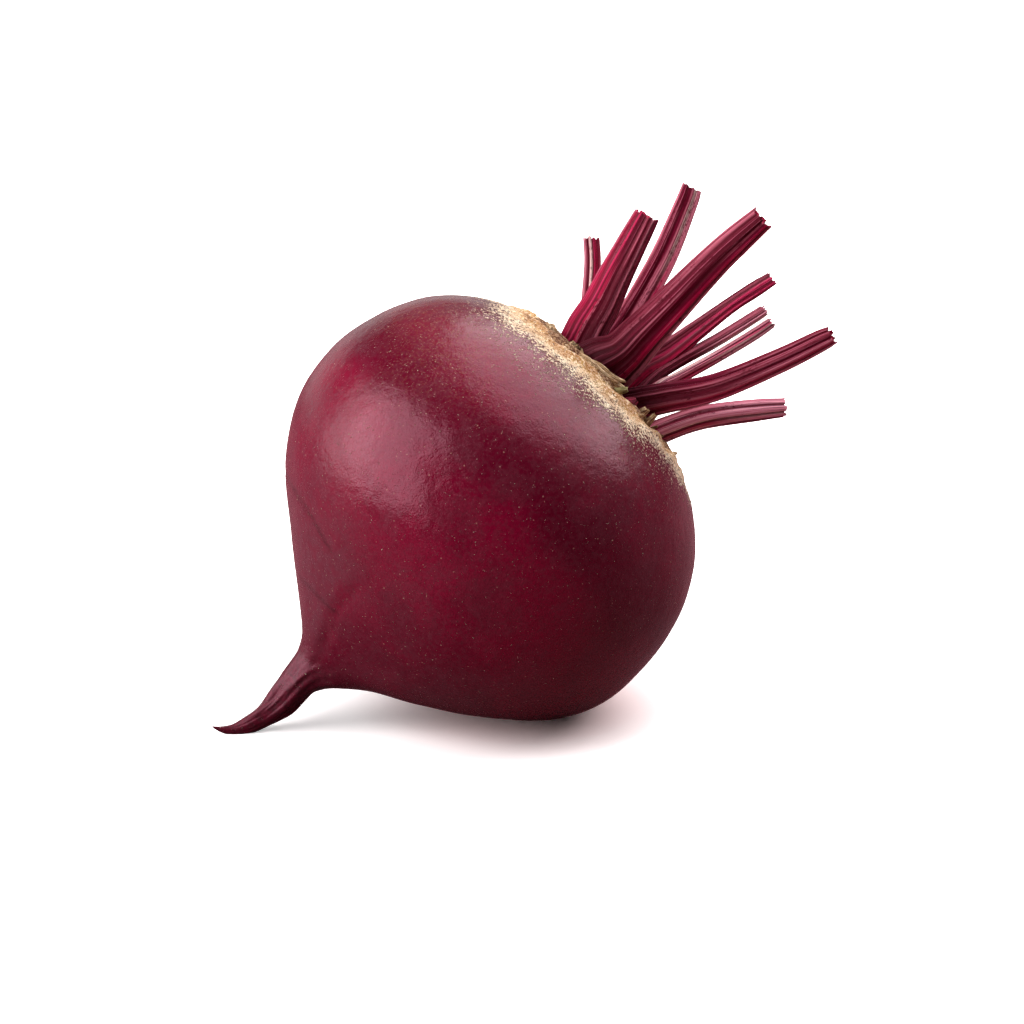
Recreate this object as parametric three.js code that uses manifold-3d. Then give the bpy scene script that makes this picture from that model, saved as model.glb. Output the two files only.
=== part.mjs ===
// A beetroot as picked: the round root with its thin curled tail, the corky crown,
// and nine leaf stalks cut off short above it.
// Millimetres, +Z up. It lies on its side, and the origin is the middle of the small flat it rests on.

import * as THREE from "three";
import { mergeVertices } from "three/addons/utils/BufferGeometryUtils.js";
import Module from "manifold-3d";

const wasm = await Module();
wasm.setup();

const { degToRad, radToDeg, smoothstep } = THREE.MathUtils;

// Lie of the root: its axis climbs from the tail to the crown, and the widest section's middle
// stands over a point a little towards the tail from the flat.
const LEAN = degToRad(42.6);
const WIDEST_HEIGHT = 41.8;
const WIDEST_BEHIND_FLAT = 7.6;

// From the underside round the axis to the far side. The upper side is a quarter turn further.
const FAR_TURN = degToRad(66.6);

// Clearance between pieces that touch on the real plant.
const GAP = 0.3;

// The root from the tip of the tail to the middle of the crown.
// Each station: height along the axis from the widest section, sag towards the underside, radius.
const ROOT_STATIONS = [
  [-67.6, -7.7, 0.1],
  [-66.7, -5.9, 0.6],
  [-65.1, -4.1, 1.1],
  [-62.6, -2.7, 1.75],
  [-59.2, -1.7, 2.2],
  [-55.5, -1.3, 2.7],
  [-52.0, -1.5, 3.2],
  [-48.8, -1.6, 3.7],
  [-45.6, -1.0, 5.3],
  [-41.6, 0.3, 9.2],
  [-36.6, 2.0, 16.6],
  [-30.0, 2.9, 25.6],
  [-21.5, 2.4, 35.3],
  [-11.0, 1.4, 41.3],
  [0.0, 0.6, 42.7],
  [10.0, 0.3, 40.9],
  [19.0, 0, 36.6],
  [25.6, 0, 30.2],
  [29.6, 0, 23.0],
  [31.4, 0, 15.5],
  [31.9, 0, 8.0],
  [32.0, 0, 0],
];
const ROOT_SIDES = 64;
const TAIL_TOP = -40; // below this height the sections turn square to the bending tail
const TAIL_BLEND = 12;
const FIRST_CROWN_SPAN = 17; // from this station on the rings lie closer, for the cork
const BODY_RINGS = 2;
const CROWN_RINGS = 3;

// Low flutes that run up out of the tail, and the slight lobes of the body.
const FLUTE_DEPTH = 0.035;
const FLUTE_TOP = -14;
const FLUTE_DEEPEST = -41;
const FLUTE_BOTTOM = -54;
const LOBE_DEPTH = 0.005;

// Cork ring of old leaf scars, between two distances from the axis.
const CORK_INNER = 12;
const CORK_OUTER = 25;
const CORK_HEIGHT = 0.8;
const CORK_SCARS = 13;

// A leaf stalk is a ribbed bar with a channel on its inner face and a wider, thinner foot.
const STALK_SIDES = 24;
const STALK_RIBS = 8;
const RIB_DEPTH = 0.055;
const STALK_RINGS = 10;
const CHANNEL_DEPTH = 0.2; // share of the thickness
const ROUND_WIDTH = 6; // a wider section curls inwards at both edges
const CURL = 0.28;
const CUT_RAGGED = 0.5;
const CUT_HOLLOW = 0.8;

// Stalk stations: height, upper, far, width, thickness. The outward face points to the angle "out",
// in degrees from the far side towards the upper side.
const STALKS = [
  {
    out: 45,
    stations: [
      [30, 4.5, 6.5, 6.5, 3.6],
      [35, 7.6, 7.2, 4.8, 3.6],
      [42.9, 14.5, 8.6, 3.9, 3.3],
      [47.8, 18.9, 9.6, 3.6, 3.1],
      [50.9, 22.3, 10.4, 3.5, 3.0],
    ],
  },
  {
    out: 150,
    stations: [
      [30, 8.9, -5.8, 8.0, 4.4],
      [33, 9.3, -6, 8.4, 4.4],
      [37, 10.5, -6.4, 8.5, 4.4],
      [41.5, 11.5, -7.2, 7.8, 4.3],
      [47.7, 13.5, -8.4, 6.9, 4.2],
      [55.9, 15.9, -9.8, 5.8, 4.1],
      [59.6, 17.0, -10.5, 5.2, 3.9],
    ],
  },
  {
    out: 20,
    stations: [
      [30, 3.6, 5.4, 6.8, 4.4],
      [38.9, 4.9, 6, 5.6, 4.2],
      [45.1, 6.1, 7, 5.3, 4.1],
      [57.6, 9.5, 9.4, 5.2, 4.0],
      [68.6, 13.9, 12.2, 4.5, 3.7],
      [72, 15.5, 13, 4.1, 3.5],
    ],
  },
  {
    out: 175,
    stations: [
      [30, 3.4, -10.4, 12.6, 3.6],
      [33.4, 2.7, -11.2, 11.8, 4.0],
      [37.5, 1.7, -12.4, 9.0, 4.8],
      [42.4, 1.8, -13.7, 8.0, 5.0],
      [49, 1.8, -15.4, 7.0, 5.0],
      [60.9, 1.9, -18.3, 5.8, 4.6],
      [67, 1.6, -20, 5.3, 4.3],
      [73, 1.1, -21.9, 4.5, 4.0],
    ],
  },
  {
    out: -10,
    stations: [
      [30, -1.8, 8, 7.0, 3.6],
      [39.8, -2.4, 8.6, 5.8, 3.5],
      [45.1, -3.9, 9.5, 4.8, 3.3],
      [52.7, -5.0, 11.6, 3.7, 3.2],
      [61.1, -6.2, 14, 3.0, 3.0],
      [67, -7.4, 15.4, 3.0, 2.9],
      [71.1, -8.3, 16.4, 2.6, 2.7],
    ],
  },
  {
    out: -60,
    stations: [
      [30, -5.6, 7.2, 6.4, 3.4],
      [39.5, -5.2, 8.1, 4.3, 3.1],
      [45.5, -6.5, 9.6, 2.9, 2.9],
      [54.3, -9.0, 12, 2.5, 2.8],
      [62.9, -11.0, 14.2, 2.5, 2.6],
      [65.3, -11.5, 14.8, 2.4, 2.5],
    ],
  },
  {
    out: -75,
    stations: [
      [30, -7.4, 0.8, 6.4, 3.4],
      [38.4, -7.3, 2.2, 4.2, 3.1],
      [43.2, -8.7, 4.2, 2.8, 2.9],
      [51.3, -11.0, 7.2, 2.3, 2.8],
      [59.7, -13.1, 9.7, 2.2, 2.8],
      [64.2, -14.0, 10.5, 2.1, 2.6],
    ],
  },
  {
    out: -150,
    stations: [
      [30, -5.4, -8.4, 8.0, 4.4],
      [33.6, -7.2, -9, 6.6, 4.5],
      [37.1, -9.5, -10, 6.1, 4.5],
      [45.3, -14.9, -12.3, 5.4, 4.3],
      [56.7, -19.7, -15, 4.7, 4.2],
      [65, -22.6, -16.3, 4.2, 3.9],
      [67.4, -23.4, -16.8, 3.6, 3.5],
    ],
  },
  {
    out: -115,
    stations: [
      [30, -12.6, -0.8, 6.4, 4.8],
      [33.7, -13.8, -0.6, 5.7, 4.8],
      [40.6, -17.3, 0.1, 5.2, 4.7],
      [49, -23.7, 1.1, 4.8, 4.4],
      [53.2, -27.2, 1.5, 4.0, 3.9],
    ],
  },
];

// Dry remains of older leaves, grown into the crown: the strip along the near side, a bud, scales.
// Stations as for the stalks, with fewer sides.
const STUB_SIDES = 8;
const STUBS = [
  {
    out: 180,
    stations: [
      [30.0, 10.0, -13.4, 1.4, 1.2],
      [30.6, 5.6, -15.4, 2.0, 1.2],
      [31.0, 0.6, -16.1, 2.2, 1.2],
      [32.2, -3.0, -16.1, 1.5, 1.3],
    ],
  },
  {
    out: -150,
    stations: [
      [28.4, -5.6, -15.0, 2.6, 2.4],
      [30.6, -5.8, -15.3, 2.8, 2.4],
      [32.2, -6.2, -15.2, 1.2, 1.2],
    ],
  },
  {
    out: -130,
    stations: [
      [28.4, -8.2, -13.6, 2.8, 1.3],
      [31.2, -8.5, -13.9, 2.6, 1.2],
      [33.4, -8.9, -14.2, 1.4, 1.0],
    ],
  },
  {
    out: -115,
    stations: [
      [28.4, -11.0, -11.6, 2.8, 1.3],
      [31.6, -10.8, -11.9, 2.4, 1.2],
      [33.8, -10.6, -12.2, 1.0, 1.0],
    ],
  },
];

// Short dry leaf bases round the rest of the crown, by a rule: every angle in turn, in two rows.
const SCALE_COUNT = 11;
const SCALE_FIRST = degToRad(-78);
const SCALE_LAST = degToRad(146);
const SCALE_RADII = [15.6, 17.8];
const SCALE_FOOT = 31.4;
const SCALE_FALL = 0.3; // drop of the crown for each millimetre outwards
const SCALE_WIDTH = 4.6;
const SCALE_THICKNESS = 1.4;
const SCALE_SUNK = 3;
const SCALE_RIM = 0.4; // height of its widest place over its foot
const SCALE_HEIGHT = 0.5; // from there to its torn edge

// Heart of the crown: young leaves still folded, in a ring between the stalks.
const HEART_LEAVES = 5;
const HEART_RADIUS = 1.7;
const HEART_HEIGHT = 6;

const AXIS = new THREE.Vector3(Math.cos(LEAN), 0, Math.sin(LEAN));
const UNDER = new THREE.Vector3(Math.sin(LEAN), 0, -Math.cos(LEAN));
const SIDE = new THREE.Vector3(0, 1, 0);
const WIDEST = new THREE.Vector3(-WIDEST_BEHIND_FLAT, 0, WIDEST_HEIGHT);
const FAR = across(FAR_TURN);
const UPPER = across(FAR_TURN + Math.PI / 2);

// Unit vector across the axis, at an angle from the underside.
function across(angle) {
  return UNDER.clone()
    .multiplyScalar(Math.cos(angle))
    .addScaledVector(SIDE, Math.sin(angle));
}

// Point of the plant in the part's frame, from its height, upper and far measures.
function plantPoint(height, upper, far) {
  return WIDEST.clone()
    .addScaledVector(AXIS, height)
    .addScaledVector(UPPER, upper)
    .addScaledVector(FAR, far);
}

// Curve through hand-set triples of numbers.
function through(triples) {
  const points = triples.map((triple) => new THREE.Vector3(...triple));
  return new THREE.CatmullRomCurve3(points, false, "catmullrom", 0.5);
}

// Closed skin over rings of points, with a point that closes each end.
function skin(rings, first, last) {
  const sides = rings[0].length;
  const positions = [first, ...rings.flat(), last].flatMap((p) => [
    p.x,
    p.y,
    p.z,
  ]);
  const lastPoint = 1 + rings.length * sides;
  const at = (ring, side) => 1 + ring * sides + (side % sides);
  const index = [];
  for (let side = 0; side < sides; side++) {
    index.push(0, at(0, side + 1), at(0, side));
    index.push(
      lastPoint,
      at(rings.length - 1, side),
      at(rings.length - 1, side + 1),
    );
    for (let ring = 0; ring + 1 < rings.length; ring++) {
      index.push(
        at(ring, side),
        at(ring, side + 1),
        at(ring + 1, side),
        at(ring, side + 1),
        at(ring + 1, side + 1),
        at(ring + 1, side),
      );
    }
  }
  const geometry = new THREE.BufferGeometry();
  geometry.setAttribute(
    "position",
    new THREE.Float32BufferAttribute(positions, 3),
  );
  geometry.setIndex(index);
  return geometry;
}

function solidOf(geometry) {
  const bare = new THREE.BufferGeometry();
  bare.setAttribute("position", geometry.getAttribute("position"));
  bare.setIndex(geometry.index);
  const merged = mergeVertices(bare, 1e-4);
  return new wasm.Manifold(
    new wasm.Mesh({
      numProp: 3,
      vertProperties: merged.attributes.position.array,
      triVerts: new Uint32Array(merged.index.array),
    }),
  );
}

function geometryOf(solid) {
  const mesh = solid.getMesh();
  const geometry = new THREE.BufferGeometry();
  geometry.setAttribute(
    "position",
    new THREE.BufferAttribute(mesh.vertProperties, 3),
  );
  geometry.setIndex(new THREE.BufferAttribute(mesh.triVerts, 1));
  geometry.computeVertexNormals();
  return geometry;
}

// Of the pieces that a cut leaves, the largest.
function largest(solid) {
  return solid.decompose().sort((a, b) => b.volume() - a.volume())[0];
}

// How far the root's skin stands out at an angle round the axis: tail flutes, lobes and cork scars.
function rootRelief(height, radius, angle) {
  const rising = smoothstep(height, FLUTE_BOTTOM, FLUTE_DEEPEST);
  const fading = 1 - smoothstep(height, FLUTE_DEEPEST, FLUTE_TOP);
  const flute = -Math.cos(3 * angle) * rising * fading;
  const lobe = Math.cos(2 * angle) * (1 - smoothstep(height, 10, 28));
  let out = radius * (FLUTE_DEPTH * flute + LOBE_DEPTH * lobe);
  if (height > 0) {
    const ring =
      smoothstep(radius, CORK_INNER, CORK_INNER + 3) *
      (1 - smoothstep(radius, CORK_OUTER - 5, CORK_OUTER));
    const shifted = CORK_SCARS * angle + 0.9 * radius;
    out += CORK_HEIGHT * ring * (0.5 + 0.5 * Math.sin(shifted));
  }
  return out;
}

const ROOT_PROFILE = through(
  ROOT_STATIONS.map(([height, sag, radius]) => [sag, radius, height]),
);

// Point of the root's skin, "along" from 0 at the tail's tip to 1 at the middle of the crown.
function rootPoint(along, angle, grow) {
  const { x: sag, y: radius, z: height } = ROOT_PROFILE.getPoint(along);
  const run = ROOT_PROFILE.getTangent(along);
  const steep = Math.hypot(run.y, run.z);
  const tilt =
    Math.atan2(run.x, run.z) *
    (1 - smoothstep(height, TAIL_TOP - TAIL_BLEND, TAIL_TOP));
  const out = rootRelief(height, radius, angle) + grow;
  const reach = radius + (out * run.z) / steep;
  const rise = height - (out * run.y) / steep;
  const under = Math.cos(angle) * reach;
  return WIDEST.clone()
    .addScaledVector(AXIS, rise - under * Math.sin(tilt))
    .addScaledVector(UNDER, sag + under * Math.cos(tilt))
    .addScaledVector(SIDE, Math.sin(angle) * reach);
}

function rootBody(grow) {
  const spans = ROOT_STATIONS.length - 1;
  const alongs = [];
  for (let span = 0; span < spans; span++) {
    const count = span < FIRST_CROWN_SPAN ? BODY_RINGS : CROWN_RINGS;
    for (let step = 0; step < count; step++) {
      alongs.push((span + step / count) / spans);
    }
  }
  const rings = alongs.map((along) =>
    Array.from({ length: ROOT_SIDES }, (_, side) =>
      rootPoint(along, (2 * Math.PI * side) / ROOT_SIDES, grow),
    ),
  );
  const tip = rootPoint(0, 0, 0).addScaledVector(AXIS, -0.2 - grow);
  const middle = rootPoint(1, 0, grow);
  return solidOf(skin(rings, tip, middle));
}

// Ribbed bar along its stations: a stalk, or with fewer sides and no ribs a dry stub.
function bar({ out, stations }, { sides, ribs, rings: steps, ragged }, grow) {
  const spine = through(stations.map(([h, u, f]) => [h, u, f]));
  const sizes = through(stations.map(([, , , w, t]) => [w, t, 0]));
  const outward = across(FAR_TURN + degToRad(out));
  const middles = [];
  const sections = [];
  for (let step = 0; step <= steps; step++) {
    const along = step / steps;
    const middle = plantPoint(...spine.getPoint(along));
    const before = plantPoint(...spine.getPoint(Math.max(0, along - 0.01)));
    const after = plantPoint(...spine.getPoint(Math.min(1, along + 0.01)));
    const ahead = after.sub(before).normalize();
    const face = outward
      .clone()
      .addScaledVector(ahead, -outward.dot(ahead))
      .normalize();
    const sideways = ahead.clone().cross(face);
    const { x: width, y: thickness } = sizes.getPoint(along);
    const curl = CURL * Math.max(0, width - ROUND_WIDTH);
    const section = [];
    for (let side = 0; side < sides; side++) {
      const angle = (2 * Math.PI * side) / sides;
      const rib = 1 + (ribs ? RIB_DEPTH * Math.cos(ribs * angle) : 0);
      const breadth = Math.sin(angle);
      const inner = Math.max(0, -Math.cos(angle));
      const channel = CHANNEL_DEPTH * thickness * inner ** 2;
      const s = (width / 2) * breadth * rib + grow * breadth;
      const d =
        (thickness / 2) * Math.cos(angle) * rib +
        channel -
        curl * breadth ** 2 +
        grow * Math.cos(angle);
      const point = middle
        .clone()
        .addScaledVector(sideways, s)
        .addScaledVector(face, d);
      if (step === steps) {
        const broad = 0.6 * Math.sin(3 * angle + degToRad(5 * out));
        const jag = broad + 0.4 * Math.sin(7 * angle);
        point.addScaledVector(ahead, ragged * jag + grow);
      }
      section.push(point);
    }
    sections.push(section);
    middles.push(middle);
  }
  const last = middles[steps].clone().addScaledVector(AXIS, grow);
  if (ragged) last.addScaledVector(AXIS, -CUT_HOLLOW);
  return solidOf(skin(sections, middles[0], last));
}

const STALK_SHAPE = {
  sides: STALK_SIDES,
  ribs: STALK_RIBS,
  rings: STALK_RINGS,
  ragged: CUT_RAGGED,
};
const STUB_SHAPE = { sides: STUB_SIDES, ribs: 0, rings: 3, ragged: 0 };

// One short dry leaf base of the crown's outer rows.
function scale(number) {
  const share = number / (SCALE_COUNT - 1);
  const angle = SCALE_FIRST + (SCALE_LAST - SCALE_FIRST) * share;
  const radius = SCALE_RADII[number % 2];
  const foot = SCALE_FOOT - (radius - SCALE_RADII[0]) * SCALE_FALL;
  const sway = Math.sin(5 * number);
  const station = (height, reach, width) => [
    height,
    Math.sin(angle) * reach,
    Math.cos(angle) * reach,
    width,
    SCALE_THICKNESS,
  ];
  const rim = foot + SCALE_RIM;
  const top = rim + SCALE_HEIGHT * (1 + 0.6 * sway);
  return {
    out: radToDeg(angle),
    stations: [
      station(foot - SCALE_SUNK, radius, SCALE_WIDTH),
      station(rim, radius + 0.1, SCALE_WIDTH + sway * 0.6),
      station(top, radius + 0.5, SCALE_WIDTH * 0.5),
    ],
  };
}

// One folded young leaf of the heart, pointed at its top.
function heartLeaf(number) {
  const angle = (2 * Math.PI * number) / HEART_LEAVES;
  const foot = ROOT_STATIONS.at(-1)[0];
  const tall = HEART_HEIGHT * (0.7 + 0.3 * Math.sin(2.4 * number));
  const station = (height, reach, width, thickness) => [
    height,
    Math.sin(angle) * reach,
    Math.cos(angle) * reach,
    width,
    thickness,
  ];
  return {
    out: radToDeg(angle),
    stations: [
      station(foot - 2, HEART_RADIUS, 2.6, 1.8),
      station(foot + tall / 2, HEART_RADIUS + 0.2, 2.4, 1.6),
      station(foot + tall, HEART_RADIUS + 0.9, 0.9, 0.9),
    ],
  };
}

// The floor's side of the plane z = 0, as a slab that shaves the flats.
function floorSlab() {
  const slab = new THREE.BoxGeometry(300, 300, 20).deleteAttribute("normal");
  slab.deleteAttribute("uv");
  slab.translate(0, 0, -10);
  return solidOf(slab);
}

const remains = [
  ...STUBS,
  ...Array.from({ length: SCALE_COUNT }, (_, number) => scale(number)),
  ...Array.from({ length: HEART_LEAVES }, (_, number) => heartLeaf(number)),
];

function crowned(grow) {
  return remains.reduce(
    (root, stub) => root.add(bar(stub, STUB_SHAPE, grow)),
    rootBody(grow),
  );
}

const rootMaterial = new THREE.MeshStandardMaterial({
  color: 0x6b2f45,
  roughness: 0.45,
  metalness: 0,
});
const stalkMaterial = new THREE.MeshStandardMaterial({
  color: 0x7d1436,
  roughness: 0.4,
  metalness: 0,
});

const beetroot = new THREE.Group();

function addPiece(name, solid, material) {
  const mesh = new THREE.Mesh(geometryOf(solid), material);
  mesh.name = name;
  beetroot.add(mesh);
}

addPiece("root", largest(crowned(0).subtract(floorSlab())), rootMaterial);

// The widest and nearest stalks keep their whole feet, and the others are trimmed against them.
const CUT_ORDER = [4, 2, 8, 9, 1, 6, 3, 7, 5];
let taken = crowned(GAP);
for (const number of CUT_ORDER) {
  const stalk = STALKS[number - 1];
  const free = largest(bar(stalk, STALK_SHAPE, 0).subtract(taken));
  addPiece(`stalk_${number}`, free, stalkMaterial);
  taken = taken.add(bar(stalk, STALK_SHAPE, GAP));
}

export default beetroot;
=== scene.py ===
import bpy
import numpy as np
from mathutils import Matrix, Vector


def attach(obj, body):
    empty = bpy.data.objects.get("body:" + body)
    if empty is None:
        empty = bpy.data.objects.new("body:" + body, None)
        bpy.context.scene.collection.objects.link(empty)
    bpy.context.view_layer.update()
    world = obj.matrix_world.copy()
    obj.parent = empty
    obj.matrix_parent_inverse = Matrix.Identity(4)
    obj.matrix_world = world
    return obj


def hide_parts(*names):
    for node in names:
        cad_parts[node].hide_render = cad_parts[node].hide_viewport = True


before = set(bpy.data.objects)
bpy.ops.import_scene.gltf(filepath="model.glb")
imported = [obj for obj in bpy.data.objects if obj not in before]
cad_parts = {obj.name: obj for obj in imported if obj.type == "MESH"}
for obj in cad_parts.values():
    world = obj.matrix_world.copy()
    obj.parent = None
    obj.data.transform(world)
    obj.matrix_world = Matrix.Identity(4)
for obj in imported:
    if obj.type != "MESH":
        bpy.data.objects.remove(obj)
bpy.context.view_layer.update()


# THE ROOT
# The swollen tap root of a beet plant: firm flesh under a thin satin skin, drawn out into a curled tail.
# It grew in one piece. Its axis climbs from the tail to the crown, and it rests on its belly and its tail.

MM = 0.001

LEAN = np.radians(42.6)
WIDEST_HEIGHT = 41.8
WIDEST_BEHIND_FLAT = 7.6

AXIS = np.array([np.cos(LEAN), 0, np.sin(LEAN)])
UNDER = np.array([np.sin(LEAN), 0, -np.cos(LEAN)])
SIDE = np.array([0, 1, 0])
WIDEST = np.array([-WIDEST_BEHIND_FLAT, 0, WIDEST_HEIGHT])

# Height along the axis from the widest section, sag towards the underside, radius, in millimetres.
ROOT_STATIONS = [
    (-67.6, -7.7, 0.1),
    (-66.7, -5.9, 0.6),
    (-65.1, -4.1, 1.1),
    (-62.6, -2.7, 1.75),
    (-59.2, -1.7, 2.2),
    (-55.5, -1.3, 2.7),
    (-52.0, -1.5, 3.2),
    (-48.8, -1.6, 3.7),
    (-45.6, -1.0, 5.3),
    (-41.6, 0.3, 9.2),
    (-36.6, 2.0, 16.6),
    (-30.0, 2.9, 25.6),
    (-21.5, 2.4, 35.3),
    (-11.0, 1.4, 41.3),
    (0.0, 0.6, 42.7),
    (10.0, 0.3, 40.9),
    (19.0, 0, 36.6),
    (25.6, 0, 30.2),
    (29.6, 0, 23.0),
    (31.4, 0, 15.5),
    (31.9, 0, 8.0),
    (32.0, 0, 0),
]
ROOT_ROWS = 340
ROOT_COLUMNS = 276
TAIL_TOP = -40
TAIL_BLEND = 12

# Low flutes that run up out of the tail, the slight lobes of the body, and the cork ring of leaf scars.
FLUTE_DEPTH = 0.035
FLUTE_TOP = -14
FLUTE_DEEPEST = -41
FLUTE_BOTTOM = -54
LOBE_DEPTH = 0.005
CORK_INNER = 12
CORK_OUTER = 25
CORK_HEIGHT = 0.8
CORK_SCARS = 13

# Old growth lines and scratches: marks of height and of degrees round from the underside.
RING_SCAR = [(-21.6, 122), (-22.8, 160), (-23.3, 175), (-23.8, 186), (-24.2, 193), (-24.8, 200), (-26.8, 213)]
THIN_SCRATCH = [(-34.6, 184), (-34.7, 207), (-35, 224)]
TAIL_GROOVE = [(-29.3, 227), (-35.7, 221), (-40.5, 223.5), (-45.4, 231.5)]
BACK_SCAR = [(-8, 60), (-5, 78), (-9, 95), (-6, 112)]

# The same marks with their half widths and depths in millimetres, and how dark each is.
SKIN_MARKS = [
    (RING_SCAR, 0.7, 0.12, 0.75),
    (BACK_SCAR, 0.7, 0.12, 0.5),
    (THIN_SCRATCH, 0.6, 0.09, 0.6),
    (TAIL_GROOVE, 2.4, 0.22, 0.25),
]

# Heights of the uneven growth, in millimetres, and of the tail's wrinkles as shares of its radius.
BROAD_SWELL = 0.28
SMALL_SWELL = 0.07
CORK_LUMP = 0.20
CORK_GRAIN = 0.13
TAIL_WRINKLE = 0.11
TAIL_RIDGE = 0.07

# The cork reaches this far from the axis, a little further on two sides, and thins out over its edge.
CORK_EDGE = 27.5
CORK_SWAY = 2.5
CORK_SWAY_TURN = np.radians(205)
CORK_FADE = 8


def smoothstep(value, low, high):
    """S-curve from 0 at low to 1 at high."""
    share = np.clip((value - low) / (high - low), 0, 1)
    return share * share * (3 - 2 * share)


def curve_through(stations, along):
    """Smooth curve through given stations: uniform Catmull-Rom, with straight-on ends.

    along runs from 0 at the first station to 1 at the last. Gives the values and their rate of change,
    each with the stations' measures as its first index.
    """
    points = np.asarray(stations, float)
    padded = np.vstack([2 * points[0] - points[1], points, 2 * points[-1] - points[-2]])
    spans = len(points) - 1
    place = np.clip(along, 0, 1) * spans
    span = np.minimum(place.astype(int), spans - 1)
    t = (place - span)[..., None]
    a, b, c, d = (padded[span + step] for step in range(4))
    bend = 2 * a - 5 * b + 4 * c - d
    twist = -a + 3 * b - 3 * c + d
    value = 0.5 * (2 * b + (c - a) * t + bend * t**2 + twist * t**3)
    rate = 0.5 * spans * (c - a + 2 * bend * t + 3 * twist * t**2)
    return np.moveaxis(value, -1, 0), np.moveaxis(rate, -1, 0)


LATTICE = 32
lattice_values = np.random.default_rng(7).uniform(-1, 1, (LATTICE, LATTICE, LATTICE))


def unevenness(x, y, z):
    """Smooth random relief from -1 to 1, about one swell a unit.

    Random values stand at the corners of unit cubes, and S-curves along each side blend them.
    """
    lows = [np.floor(c).astype(int) for c in (x, y, z)]
    shares = [smoothstep(c - low, 0, 1) for c, low in zip((x, y, z), lows)]
    total = 0
    for corner in np.ndindex(2, 2, 2):
        place = tuple((low + step) % LATTICE for low, step in zip(lows, corner))
        weight = 1
        for share, step in zip(shares, corner):
            weight = weight * (share if step else 1 - share)
        total = total + weight * lattice_values[place]
    return total


def line_nearness(height, angle, radius, marks, half_width):
    """1 on a line over the skin through its marks, falling in an S-curve to 0 at half_width millimetres.

    The skin is unrolled at each point's own radius, and the distance to the nearest stretch is taken.
    """
    nearest = np.full(height.shape, 1e9)
    for (low_height, low_turn), (high_height, high_turn) in zip(marks, marks[1:]):
        run_up = high_height - low_height
        run_round = np.radians(high_turn - low_turn) * radius
        up = height - low_height
        around = (angle - np.radians(low_turn)) * radius
        share = np.clip((up * run_up + around * run_round) / (run_up**2 + run_round**2 + 1e-9), 0, 1)
        nearest = np.minimum(nearest, np.hypot(up - share * run_up, around - share * run_round))
    return 1 - smoothstep(nearest, 0, half_width)


def cork_share(height, radius, angle):
    """How corky the skin is: 1 on the crown, fading down the shoulder over a ragged edge."""
    edge = CORK_EDGE + CORK_SWAY * np.cos(2 * (angle - CORK_SWAY_TURN))
    x, y = np.cos(angle), np.sin(angle)
    ragged = 1.6 * unevenness(x * 5, y * 5, radius / 5) + 0.9 * unevenness(x * 17, y * 17, radius / 3)
    return (1 - smoothstep(radius + ragged, edge - CORK_FADE, edge + CORK_FADE)) * (height > 0)


def root_relief(height, radius, angle):
    """How far the skin stands out, in millimetres.

    Three flutes that swell and fade towards the tail, two slight lobes and a ring of wavy leaf scars;
    over these uneven growth, wrinkles along the tail, scars, and the rough cork of the crown.
    """
    rising = smoothstep(height, FLUTE_BOTTOM, FLUTE_DEEPEST)
    fading = 1 - smoothstep(height, FLUTE_DEEPEST, FLUTE_TOP)
    flute = -np.cos(3 * angle) * rising * fading
    lobe = np.cos(2 * angle) * (1 - smoothstep(height, 10, 28))
    out = radius * (FLUTE_DEPTH * flute + LOBE_DEPTH * lobe)
    ring = smoothstep(radius, CORK_INNER, CORK_INNER + 3)
    ring = ring * (1 - smoothstep(radius, CORK_OUTER - 5, CORK_OUTER))
    out = out + CORK_HEIGHT * ring * (height > 0) * (0.5 + 0.5 * np.sin(CORK_SCARS * angle + 0.9 * radius))
    x = radius * np.cos(angle)
    y = radius * np.sin(angle)
    body = smoothstep(radius, 5, 20)
    swell = BROAD_SWELL * unevenness(x / 17, y / 17, height / 13)
    out = out + body * (swell + SMALL_SWELL * unevenness(x / 5, y / 5, height / 4))
    tail = 1 - smoothstep(radius, 3.5, 9)
    wrinkle = unevenness(np.cos(angle) * 2.2, np.sin(angle) * 2.2, height / 5)
    ridge = unevenness(np.cos(angle) * 4.5 + 9, np.sin(angle) * 4.5, height / 7)
    out = out + tail * np.minimum(radius, 3) * (TAIL_WRINKLE * wrinkle + TAIL_RIDGE * ridge)
    cork = cork_share(height, radius, angle)
    out = out + cork * CORK_LUMP * unevenness(x / 1.7, y / 1.7, height / 1.7)
    out = out + cork * CORK_GRAIN * unevenness(x / 0.8, y / 0.8, height / 0.8)
    rough = 1 + 0.6 * unevenness(x / 1.5, y / 1.5, height / 1.5)
    for marks, half_width, depth, _ in SKIN_MARKS:
        out = out - depth * rough * line_nearness(height, angle, radius, marks, half_width)
    return out


def root_skin(along, angle):
    """Points of the skin in millimetres, from 0 at the tail's tip to 1 at the middle of the crown.

    The profile gives height, sag and radius. The relief moves a point out square to the profile, the
    sections of the tail turn with its bend, and what would be below the floor is pressed flat on it.
    """
    (height, sag, radius), (run_up, run_sag, run_out) = curve_through(ROOT_STATIONS, along)
    steep = np.hypot(run_up, run_out)
    tilt = np.arctan2(run_sag, run_up) * (1 - smoothstep(height, TAIL_TOP - TAIL_BLEND, TAIL_TOP))
    out = root_relief(height, radius, angle)
    reach = np.maximum(radius + out * run_up / steep, 0)
    rise = height - out * run_out / steep
    under = np.cos(angle) * reach
    points = (
        WIDEST
        + AXIS * (rise - under * np.sin(tilt))[..., None]
        + UNDER * (sag + under * np.cos(tilt))[..., None]
        + SIDE * (np.sin(angle) * reach)[..., None]
    )
    points[..., 2] = np.maximum(points[..., 2], 0)
    return points


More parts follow.
